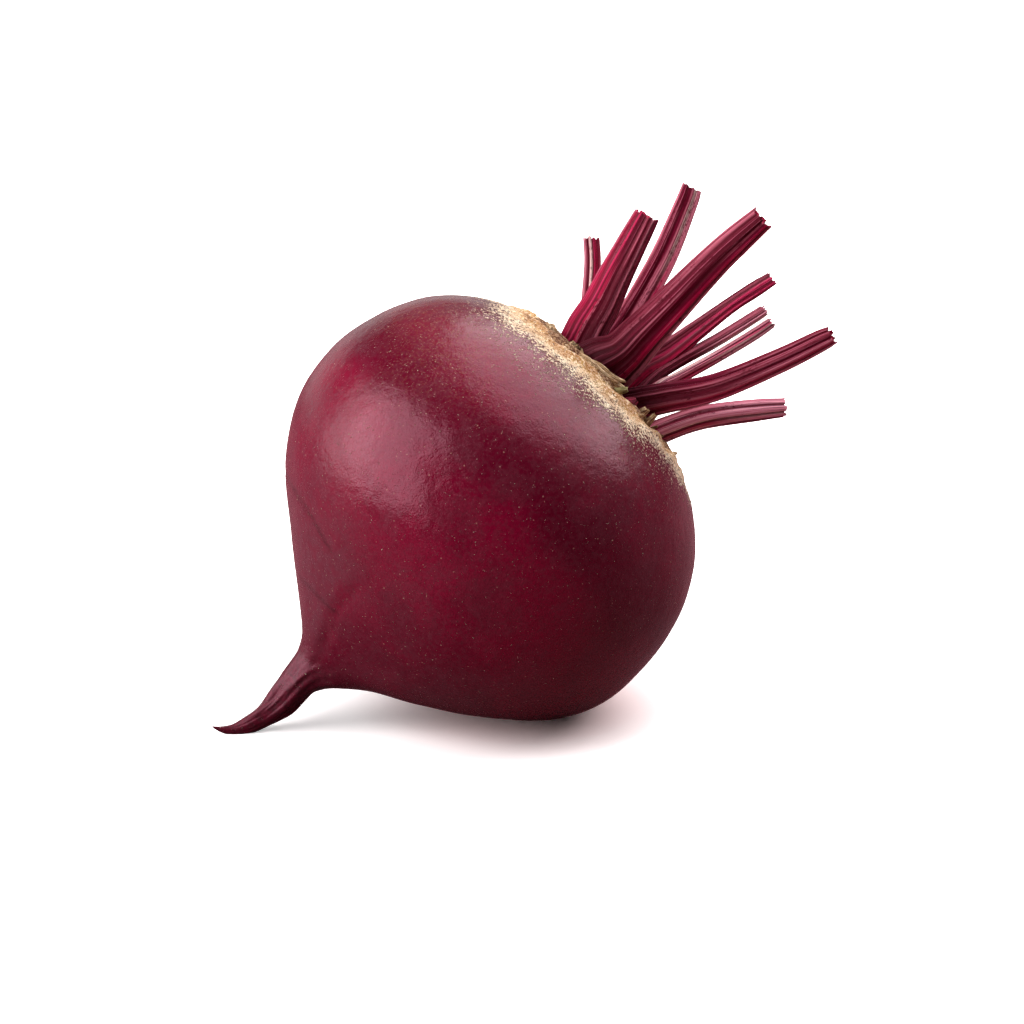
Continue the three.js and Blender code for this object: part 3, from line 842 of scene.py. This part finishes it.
def stalk_skin(stations, out, number):
    """Rows of points of one stalk, from its foot over its rim to the middle of the cut.

    A section is an ellipse of the stalk's width and thickness whose edge rises in eight ribs, with finer
    ribs that wander along it; its inner side sinks in a channel, and a wide section curls inwards. Past
    the rim the rows shrink into the hollow cut, and each rib ends at a length of its own.
    """
    bar = np.linspace(0, 1, STALK_ROWS)
    along = np.concatenate([bar, np.ones(len(CUT_SHARES))])
    share = np.concatenate([np.ones(STALK_ROWS), CUT_SHARES])[:, None]
    angle = np.linspace(0, 2 * np.pi, STALK_COLUMNS, endpoint=False)[None]
    middle, ahead, face, sideways, width, thickness = bar_frame(stations, out, along)
    length = along[:, None] * (stations[-1][0] - stations[0][0])
    drift = 0.10 * unevenness(np.cos(angle) * 1.3 + number, np.sin(angle) * 1.3, length / 14)
    wave = STALK_RIBS * (angle + drift)
    ribs = RIB_DEPTH * np.cos(wave) + SPLIT_DEPTH * np.cos(2 * wave + 1.1 * number)
    ribs = ribs + WANDER_DEPTH * unevenness(np.cos(angle) * 4.7 + number, np.sin(angle) * 4.7, length / 24)
    ribs = ribs + THREAD_DEPTH * unevenness(np.cos(angle) * 9 + number, np.sin(angle) * 9, length / 14)
    crest = smoothstep(ribs, -0.075, 0.095) * np.ones_like(share)
    across_share = np.sin(angle)
    inner = np.maximum(0, -np.cos(angle))
    s = (width / 2) * across_share * (1 + ribs)
    d = (thickness / 2) * np.cos(angle) * (1 + ribs) + CHANNEL_DEPTH * thickness * inner**2
    d = d - CURL * np.maximum(0, width - ROUND_WIDTH) * across_share**2
    teeth = np.random.default_rng(number).uniform(-TOOTH, TOOTH, STALK_RIBS)
    rib_place = (angle / (2 * np.pi) * STALK_RIBS + 0.5) % STALK_RIBS
    rib = rib_place.astype(int) % STALK_RIBS
    step = smoothstep(rib_place - np.floor(rib_place), 0.8, 1)
    tooth = teeth[rib] * (1 - step) + teeth[(rib + 1) % STALK_RIBS] * step
    notch = NOTCH * (1 - smoothstep(np.cos(wave), -1, -0.35))
    torn = TORN * unevenness(np.cos(angle) * share * 6 + number, np.sin(angle) * share * 6, 3)
    near_end = smoothstep(along[:, None], 0.98, 1)
    forward = near_end * (share**2 * (tooth - notch) - CUT_HOLLOW * (1 - share**2) + torn)
    rows = (
        middle[:, None]
        + sideways[:, None] * (s * share)[..., None]
        + face[:, None] * (d * share)[..., None]
        + ahead[:, None] * forward[..., None]
    )
    return rows, crest, (share < 0.95) * np.ones_like(crest)


# Fibres: streaks that run along a stalk or a dry leaf base, from its texture map.
fibres, fibre_in, fibre_out = group(
    "Fibres",
    {"Wrap": ("Vector", None), "Round": ("Float", 6.0), "Along": ("Float", 0.15), "Offset": ("Float", 0.0)},
    {"Streak": "Float"},
)
fibre_map = node(fibres, "SeparateXYZ", {0: fibre_in["Wrap"]})
fibre_turn = times(fibres, fibre_map.outputs[0], 2 * np.pi)
fibre_x = times(fibres, arithmetic(fibres, "COSINE", fibre_turn), fibre_in["Round"])
fibre_x = arithmetic(fibres, "ADD", fibre_x, fibre_in["Offset"])
fibre_y = times(fibres, arithmetic(fibres, "SINE", fibre_turn), fibre_in["Round"])
fibre_z = times(fibres, fibre_map.outputs[1], fibre_in["Along"])
fibre_place = node(fibres, "CombineXYZ", {0: fibre_x, 1: fibre_y, 2: fibre_z}).outputs[0]
fibres.links.new(noise(fibres, fibre_place, 1.0, 4.0, 0.6), fibre_out["Streak"])


def streaked(tree, wrap, count, along, offset):
    """Streaks from the fibres group: their number round, swells a millimetre along, and own offset."""
    inputs = {"Wrap": wrap, "Round": count, "Along": along, "Offset": offset}
    return node(tree, "Group", inputs, node_tree=fibres).outputs[0]


# Stripes of the side that faces away, at even steps.
BACK_STRIPES = ["crimson", "wine", "rose", "plum", "crimson", "mauve", "wine", "red", "plum", "crimson"]
BACK_START = 102
BACK_STEP = 17
FOOT_SHADE = (0.22, 0.12, 0.16, 1)
STALK_REFLECTION = (1.0, 0.7, 0.8, 1)
# The stalks' own shine is low, as their highlights are painted into the pale stripes.
STALK_SHINE = 0.06


def striped(tree, place, stripes, middle):
    """Colour of a stalk's stripes at a place round it, 0 to 1 from its outward face.

    The broad side's stripes are wrapped half round by their arc sine, and the other half has its own at
    even steps. Both ends of the round get the same colour.
    """
    stops = {}
    for side, colour in stripes:
        turn = middle + np.degrees(np.arcsin(side))
        stops[(turn / 360) % 1] = colour
    for step, colour in enumerate(BACK_STRIPES):
        stops[((middle + BACK_START + BACK_STEP * step) / 360) % 1] = colour
    places = sorted(stops)
    seam = stops[places[0]]
    ramp = node(tree, "ValToRGB", {"Fac": place})
    elements = ramp.color_ramp.elements
    for index, where in enumerate([0.0, *places, 1.0]):
        element = elements[index] if index < 2 else elements.new(1.0)
        element.position = where
        element.color = STALK_COLOURS[stops.get(where, seam)]
    return ramp.outputs[0]


def stalk_material(name, stalk, number):
    """Skin of one stalk: stripes that change from the foot to the top, thin streaks and dark crusts.

    The furrows between the ribs are darkened with painted shade, and so is the foot where the stalks crowd
    together. The pale stripes carry painted highlights besides the stalks' own pale lines. The cut end is
    fresh crimson.
    """
    material = bpy.data.materials.new(name)
    material.use_nodes = True
    tree = material.node_tree
    shader = tree.nodes["Principled BSDF"]
    wrap = node(tree, "UVMap", uv_map="wrap").outputs[0]
    wrap_parts = node(tree, "SeparateXYZ", {0: wrap})
    length = stalk["stations"][-1][0] - stalk["stations"][0][0]
    crest = node(tree, "Attribute", attribute_name="crest").outputs["Fac"]
    cut = node(tree, "Attribute", attribute_name="cut").outputs["Fac"]
    coarse = streaked(tree, wrap, 2.5, 0.06, 3.7 * number)
    streak = streaked(tree, wrap, 8.0, 0.03, 1.3 * number)
    blotch = streaked(tree, wrap, 8.0, 1.2, 2.9 * number)
    crusty = streaked(tree, wrap, 1.2, 0.12, 5.1 * number)
    black = STALK_COLOURS["black"]
    shift = times(tree, arithmetic(tree, "SUBTRACT", coarse, 0.5), 0.035)
    place = arithmetic(tree, "FRACT", arithmetic(tree, "ADD", wrap_parts.outputs[0], shift))
    colour = striped(tree, place, stalk["stripes"], stalk["middle"])
    high = eased(tree, wrap_parts.outputs[1], 0.5 * length, 0.85 * length)
    colour = blended(tree, high, colour, striped(tree, place, stalk["top"], stalk["middle"]))
    colour = blended(tree, eased(tree, streak, 0.56, 0.62, 0, 0.45), colour, STALK_COLOURS["rose"])
    colour = blended(tree, eased(tree, streak, 0.47, 0.41, 0, 0.7), colour, black)
    # Painted shade in the furrows between the ribs.
    colour = blended(tree, eased(tree, crest, 0.4, 0.08, 0, 0.7), colour, black)
    crust = times(tree, eased(tree, blotch, 0.52, 0.6, 0, 0.75), eased(tree, crusty, 0.5, 0.6))
    colour = blended(tree, crust, colour, black)
    # Painted shade on the foot, where the stalks crowd together.
    foot = eased(tree, wrap_parts.outputs[1], 3, 0.5 * length, stalk["shade"], 0)
    colour = blended(tree, foot, colour, FOOT_SHADE, "MULTIPLY")
    colour = blended(tree, times(tree, cut, 0.7), colour, STALK_COLOURS["crimson"])
    tree.links.new(colour, shader.inputs["Base Color"])
    tree.links.new(eased(tree, streak, 0.3, 0.7, 0.3, 0.45), shader.inputs["Roughness"])
    relief = arithmetic(tree, "ADD", streak, times(tree, blotch, 0.3))
    bump = node(tree, "Bump", {"Height": relief, "Strength": 0.7, "Distance": 0.4 * MM})
    tree.links.new(bump.outputs[0], shader.inputs["Normal"])
    shader.inputs["Specular IOR Level"].default_value = STALK_SHINE
    shader.inputs["Specular Tint"].default_value = STALK_REFLECTION
    return material


for number, stalk in enumerate(STALKS, start=1):
    rows, crest, cut = stalk_skin(stalk["stations"], stalk["out"], number)
    name = f"stalk_{number}"
    material = stalk_material(f"{name}_skin", stalk, number)
    ends = rows[0].mean(axis=0), rows[-1].mean(axis=0)
    piece = closed_piece(f"{name}_ribbed", [(rows, *ends)], material, {"crest": [crest], "cut": [cut]})
    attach(piece, "root")
    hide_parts(name)


# THE DRY REMAINS ON THE CROWN
# Bases of older leaves that died back: a fibrous strip, a dark bud, and papery scales round the edge.
# They are grown into the crown, torn off short, dried tan and brown, and their roots sink into the cork.

# Each remnant: outward angle, stations as for the stalks, and the share of its length that is torn.
FIBRE_STRIPS = [
    (
        180,
        [
            (30.9, 10.0, -13.4, 1.4, 1.2),
            (31.5, 5.6, -15.4, 1.9, 1.2),
            (31.8, 0.6, -16.1, 2.0, 1.2),
            (32.7, -3.0, -16.1, 1.5, 1.3),
        ],
    ),
    (
        170,
        [
            (31.1, 8.6, -14.6, 0.8, 0.5),
            (31.9, 5.0, -16.3, 1.1, 0.5),
            (32.0, 1.6, -17.0, 1.0, 0.5),
            (32.9, -1.6, -17.2, 0.5, 0.4),
        ],
    ),
    (
        190,
        [
            (31.7, 6.4, -14.2, 0.9, 0.6),
            (32.7, 3.4, -15.0, 1.2, 0.6),
            (33.1, 0.0, -15.4, 1.1, 0.6),
            (34.0, -2.2, -15.7, 0.5, 0.4),
        ],
    ),
]
STRIP_TIP = (
    185,
    [(31.0, -1.6, -16.2, 1.2, 1.0), (32.4, -2.9, -16.4, 1.5, 1.3), (33.3, -3.6, -16.6, 0.9, 0.8)],
)
BUD = (-150, [(28.4, -5.6, -15.0, 2.6, 2.4), (31.4, -5.8, -15.4, 2.8, 2.4), (33.2, -6.2, -15.3, 1.2, 1.2)])
NEAR_SCALES = [
    (-130, [(28.4, -8.2, -13.6, 2.8, 1.3), (31.2, -8.5, -13.9, 2.6, 1.2), (33.4, -8.9, -14.2, 1.4, 1.0)]),
    (-115, [(28.4, -11.0, -11.6, 2.8, 1.3), (31.6, -10.8, -11.9, 2.4, 1.2), (33.8, -10.6, -12.2, 1.0, 1.0)]),
]

# Short dry bases in two rows round the crown, from one angle to another.
SCALE_COUNT = 11
SCALE_TURNS = (-78, 146)
SCALE_RADII = (15.6, 17.8)
SCALE_FOOT = 31.4
SCALE_FALL = 0.3
SCALE_SUNK = 3
SCALE_RIM = 0.4
SCALE_HEIGHT = 0.5
SCALE_WIDTH = 4.6
SCALE_THICKNESS = 1.4

# Small frayed flakes all round the crown, and the folded young leaves in its middle.
FLAKE_COUNT = 34
FLAKE_INNER = 15.2
FLAKE_SPREAD = 4.2
HEART_LEAVES = 5
HEART_RADIUS = 1.7
HEART_HEIGHT = 6


def remnant_skin(stations, out, number, torn, rows=30, columns=28):
    """Rows of points of one dry remnant: an ellipse carried along its stations, wrinkled and torn.

    Its faces ripple in lengthwise folds, it curls inwards towards its tip, and the last part of it is
    moved forward or back by a random profile round it, as torn fibres are.
    """
    along = np.linspace(0, 1, rows)
    angle = np.linspace(0, 2 * np.pi, columns, endpoint=False)[None]
    middle, ahead, face, sideways, width, thickness = bar_frame(stations, out, along)
    up = along[:, None]
    fold = 1 + 0.16 * unevenness(np.cos(angle) * 3.1 + 5.3 * number, np.sin(angle) * 3.1, up * 2.5)
    fold = fold + 0.10 * unevenness(np.cos(angle) * 7 + 2.1 * number, np.sin(angle) * 7, up * 6)
    s = width / 2 * np.sin(angle) * fold
    d = thickness / 2 * np.cos(angle) * fold - 0.22 * width * up**2 * np.sin(angle) ** 2
    tear = unevenness(np.cos(angle) * 2.7 + number, np.sin(angle) * 2.7, 1.5)
    forward = torn * smoothstep(up, 0.7, 1) * tear
    return (
        middle[:, None]
        + sideways[:, None] * s[..., None]
        + face[:, None] * d[..., None]
        + ahead[:, None] * forward[..., None]
    )


def remnant_shell(out, stations, number, torn):
    """Closed skin of one dry remnant, with its two end points."""
    rows = remnant_skin(stations, out, number, torn)
    return rows, rows[0].mean(axis=0), rows[-1].mean(axis=0)


def crown_place(height, turn, reach, width, thickness):
    """Station at a height, at an angle round the crown from the far side, and a distance from the axis."""
    return height, np.sin(turn) * reach, np.cos(turn) * reach, width, thickness


def crown_scale(number):
    """Outward angle and stations of one short dry base of the crown's two outer rows."""
    turn = np.radians(np.interp(number, (0, SCALE_COUNT - 1), SCALE_TURNS))
    radius = SCALE_RADII[number % 2]
    foot = SCALE_FOOT - (radius - SCALE_RADII[0]) * SCALE_FALL
    rim = foot + SCALE_RIM
    sway = np.sin(5 * number)
    top = rim + SCALE_HEIGHT * (1 + 0.6 * sway)
    return np.degrees(turn), [
        crown_place(foot - SCALE_SUNK, turn, radius, SCALE_WIDTH, SCALE_THICKNESS),
        crown_place(rim, turn, radius + 0.1, SCALE_WIDTH + 0.6 * sway, SCALE_THICKNESS),
        crown_place(top, turn, radius + 0.5, SCALE_WIDTH / 2, SCALE_THICKNESS),
    ]


def crown_flake(number):
    """Outward angle and stations of one small flake where a leaf scar has frayed, all round the crown."""
    chance = np.random.default_rng(100 + number)
    turn = 2 * np.pi * (number + 0.6 * chance.random()) / FLAKE_COUNT
    radius = FLAKE_INNER + FLAKE_SPREAD * chance.random()
    foot = SCALE_FOOT - (radius - SCALE_RADII[0]) * SCALE_FALL - 0.5
    tall = 0.9 + 1.3 * chance.random()
    width = 0.8 + 1.6 * chance.random()
    lean = chance.uniform(-0.4, 1.3)
    return np.degrees(turn) + chance.uniform(-50, 50), [
        crown_place(foot - 0.8, turn, radius, width, 0.6),
        crown_place(foot + 0.5 * tall, turn, radius + 0.3 * lean, width, 0.5),
        crown_place(foot + tall, turn + 0.02 * lean, radius + lean, 0.4 * width, 0.35),
    ]


def heart_leaf(number):
    """Outward angle and stations of one folded young leaf, pointed at its top."""
    turn = 2 * np.pi * number / HEART_LEAVES
    foot = ROOT_STATIONS[-1][0]
    tall = HEART_HEIGHT * (0.7 + 0.3 * np.sin(2.4 * number))
    return np.degrees(turn), [
        crown_place(foot - 2, turn, HEART_RADIUS, 2.6, 1.8),
        crown_place(foot + tall / 2, turn, HEART_RADIUS + 0.2, 2.4, 1.6),
        crown_place(foot + tall, turn, HEART_RADIUS + 0.9, 0.9, 0.9),
    ]


DRY_SHINE = 0.15


def dry_material(name, pale, middle_tone, dark, number):
    """Papery dried plant: pale fibres over a middle tone, with dark between them and brown blotches."""
    material = bpy.data.materials.new(name)
    material.use_nodes = True
    tree = material.node_tree
    shader = tree.nodes["Principled BSDF"]
    wrap = node(tree, "UVMap", uv_map="wrap").outputs[0]
    where = node(tree, "TexCoord").outputs["Object"]
    streak = streaked(tree, wrap, 4.0, 0.5, 2.3 * number)
    blotch = mottled(tree, where, 0.7 / MM, 0.42, 0.62)
    colour = blended(tree, eased(tree, streak, 0.48, 0.62), middle_tone, pale)
    colour = blended(tree, eased(tree, streak, 0.46, 0.34), colour, dark)
    colour = blended(tree, times(tree, blotch, 0.55), colour, dark)
    tree.links.new(colour, shader.inputs["Base Color"])
    tree.links.new(eased(tree, streak, 0.3, 0.7, 0.85, 0.6), shader.inputs["Roughness"])
    bump = node(tree, "Bump", {"Height": streak, "Strength": 0.8, "Distance": 0.3 * MM})
    tree.links.new(bump.outputs[0], shader.inputs["Normal"])
    shader.inputs["Specular IOR Level"].default_value = DRY_SHINE
    return material


# Pale, middle and dark tone of each kind of remnant.
PAPERY_TONES = (0.78, 0.58, 0.36, 1), (0.42, 0.24, 0.12, 1), (0.06, 0.022, 0.012, 1)
GREEN_TONES = (0.50, 0.44, 0.22, 1), (0.26, 0.22, 0.08, 1), (0.06, 0.04, 0.02, 1)
BUD_TONES = (0.34, 0.012, 0.05, 1), (0.12, 0.003, 0.016, 1), (0.012, 0.001, 0.003, 1)
papery = dry_material("papery_tan", *PAPERY_TONES, 1)
greenish = dry_material("green_tip", *GREEN_TONES, 2)
crown_red = dry_material("bud_red", *BUD_TONES, 3)

remnants = {
    "fibre_strips": ([remnant_shell(*strip, n, 0.8) for n, strip in enumerate(FIBRE_STRIPS)], papery),
    "strip_tip": ([remnant_shell(*STRIP_TIP, 5, 0.4)], greenish),
    "bud": ([remnant_shell(*BUD, 6, 0.3)], crown_red),
    "near_scales": ([remnant_shell(*near, 7 + n, 0.6) for n, near in enumerate(NEAR_SCALES)], papery),
    "crown_scales": ([remnant_shell(*crown_scale(n), 10 + n, 0.3) for n in range(SCALE_COUNT)], papery),
    "crown_flakes": ([remnant_shell(*crown_flake(n), 30 + n, 0.5) for n in range(FLAKE_COUNT)], papery),
    "heart_leaves": ([remnant_shell(*heart_leaf(n), 70 + n, 0.2) for n in range(HEART_LEAVES)], crown_red),
}
for name, (shells, material) in remnants.items():
    piece = closed_piece(name, shells, material)
    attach(piece, "root")


# THE PHOTO TABLE
# A plain pale surface under even studio light: a broad window and a fainter wall to the left of the
# camera, a large round light high on the right over the crown, and a bright backdrop on the far side.

TABLE_HALF = 6
TABLE_SEEN = (1.15, 1.09, 1.09, 1)
TABLE_BOUNCE = (0.18, 0.07, 0.085, 1)
TABLE_PAINTED_BOUNCE = (1.0, 0.8, 0.8, 1)

table_mesh = bpy.data.meshes.new("floor")
table_corners = [(x * TABLE_HALF, y * TABLE_HALF, 0) for x, y in ((-1, -1), (1, -1), (1, 1), (-1, 1))]
table_mesh.from_pydata(table_corners, [], [(0, 1, 2, 3)])
table = bpy.data.objects.new("floor", table_mesh)
bpy.context.collection.objects.link(table)

# The surface goes to pure white away from the root. Near it a painted blush of red bounce light tints it,
# and what the root mirrors of it is dim.
paper = bpy.data.materials.new("pale_table")
paper.use_nodes = True
tree = paper.node_tree
shader = tree.nodes["Principled BSDF"]
seen = node(tree, "LightPath").outputs["Is Camera Ray"]
where = node(tree, "TexCoord").outputs["Object"]
reach = node(tree, "VectorMath", {0: where}, operation="LENGTH").outputs["Value"]
colour = blended(tree, seen, TABLE_BOUNCE, TABLE_SEEN)
# Painted blush of red bounce light near the root.
colour = blended(tree, eased(tree, reach, 0.038, 0.012), colour, TABLE_PAINTED_BOUNCE, "MULTIPLY")
tree.links.new(colour, shader.inputs["Base Color"])
tree.links.new(times(tree, eased(tree, reach, 0.012, 0.1), seen), shader.inputs["Emission Strength"])
shader.inputs["Emission Color"].default_value = (1, 1, 1, 1)
shader.inputs["Roughness"].default_value = 0.9
shader.inputs["Specular IOR Level"].default_value = 0.1
table_mesh.materials.append(paper)

# The camera looks down at the root from the side. The middle of its widest section stands at a place in
# the picture in pixels, and the scale there gives the distance.
CAMERA_SIDE = np.radians(16.3)
CAMERA_UP = np.radians(17.0)
LENS = 100
SENSOR = 36
PICTURE = 1024
WIDEST_AT = (488.4, 502.6)
MM_A_PIXEL = 42 / 218.5

view = np.array(
    [np.sin(CAMERA_SIDE) * np.cos(CAMERA_UP), np.cos(CAMERA_SIDE) * np.cos(CAMERA_UP), -np.sin(CAMERA_UP)]
)
right = np.array([np.cos(CAMERA_SIDE), -np.sin(CAMERA_SIDE), 0])
up = np.cross(right, view)
distance = LENS / SENSOR * PICTURE * MM_A_PIXEL
camera_place = (
    WIDEST
    - view * distance
    - right * (WIDEST_AT[0] - PICTURE / 2) * MM_A_PIXEL
    - up * (PICTURE / 2 - WIDEST_AT[1]) * MM_A_PIXEL
)
camera_data = bpy.data.cameras.new("camera")
camera_data.lens = LENS
camera_data.sensor_width = SENSOR
camera_data.clip_start = 0.01
camera = bpy.data.objects.new("camera", camera_data)
camera.matrix_world = Matrix(
    [[*row, place] for row, place in zip(np.stack([right, up, -view], 1), camera_place * MM)] + [[0, 0, 0, 1]]
)
bpy.context.collection.objects.link(camera)
bpy.context.scene.camera = camera


def softbox(name, turn, climb, reach, width, height, power, shape="RECTANGLE"):
    """Large flat light aimed at the root, so many degrees to the right of the camera and above it."""
    turn, climb = np.radians(turn), np.radians(climb)
    aim = (right * np.sin(turn) - view * np.cos(turn)) * np.cos(climb) + up * np.sin(climb)
    light = bpy.data.lights.new(name, "AREA")
    light.shape = shape
    light.size = width
    light.size_y = height
    light.energy = power
    box = bpy.data.objects.new(name, light)
    box.location = Vector(WIDEST * MM + aim * reach)
    box.rotation_euler = Vector(aim).to_track_quat("Z", "Y").to_euler()
    box.visible_camera = False
    bpy.context.collection.objects.link(box)


softbox("left_window", -57, 20, 0.7, 0.68, 0.72, 9)
softbox("left_wall", -91, 19, 0.9, 0.5, 0.7, 3.4)
softbox("crown_light", 92, 62, 0.7, 1.09, 1.09, 12.5, "ELLIPSE")
softbox("backdrop_light", -165, 15, 1.1, 2.1, 0.8, 3)

# A white room that gives little light of its own.
AMBIENT = 0.03
world = bpy.data.worlds.new("studio")
world.use_nodes = True
bpy.context.scene.world = world
tree = world.node_tree
background = tree.nodes["Background"]
seen = node(tree, "LightPath").outputs["Is Camera Ray"]
tree.links.new(eased(tree, seen, 0, 1, AMBIENT, 1.0), background.inputs["Strength"])
background.inputs["Color"].default_value = (1, 1, 1, 1)
bpy.context.scene.view_settings.view_transform = "Standard"
